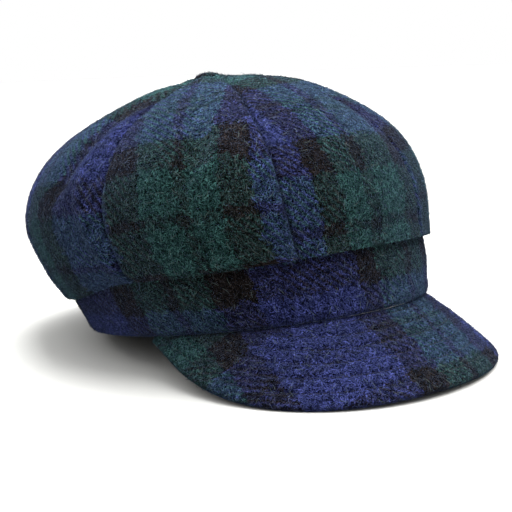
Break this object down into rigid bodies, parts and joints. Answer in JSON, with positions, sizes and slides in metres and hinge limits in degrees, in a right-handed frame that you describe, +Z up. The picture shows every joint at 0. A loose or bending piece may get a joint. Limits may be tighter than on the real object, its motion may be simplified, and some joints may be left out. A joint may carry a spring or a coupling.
{
  "type": "baker boy cap",
  "caption": "Panelled baker boy cap in dark blue, green and black tartan wool, with a covered top button, a head band and a stiff topstitched peak.",
  "frame": {"origin": "centre of the base of the bounding box, on the surface that the cap rests on", "axes": "+Z up from the surface, -Y towards the peak (the wearer's front), +X to the wearer's left"},
  "size_m": [0.213, 0.3002, 0.1483],
  "materials": {
    "tartan_crown": "milled woollen twill, soft raised nap",
    "tartan_band": "milled woollen twill, soft raised nap",
    "tartan_peak": "milled woollen twill over a board, topstitched",
    "tartan_button": "milled woollen twill over a button mould"
  },
  "bodies": {
    "root": {"crown_panel_1": "tartan_crown", "crown_panel_2": "tartan_crown", "crown_panel_3": "tartan_crown", "crown_panel_4": "tartan_crown", "crown_panel_5": "tartan_crown", "crown_panel_6": "tartan_crown", "crown_panel_7": "tartan_crown", "crown_panel_8": "tartan_crown", "band": "tartan_band", "peak": "tartan_peak", "top_button": "tartan_button"}
  },
  "joints": []
}
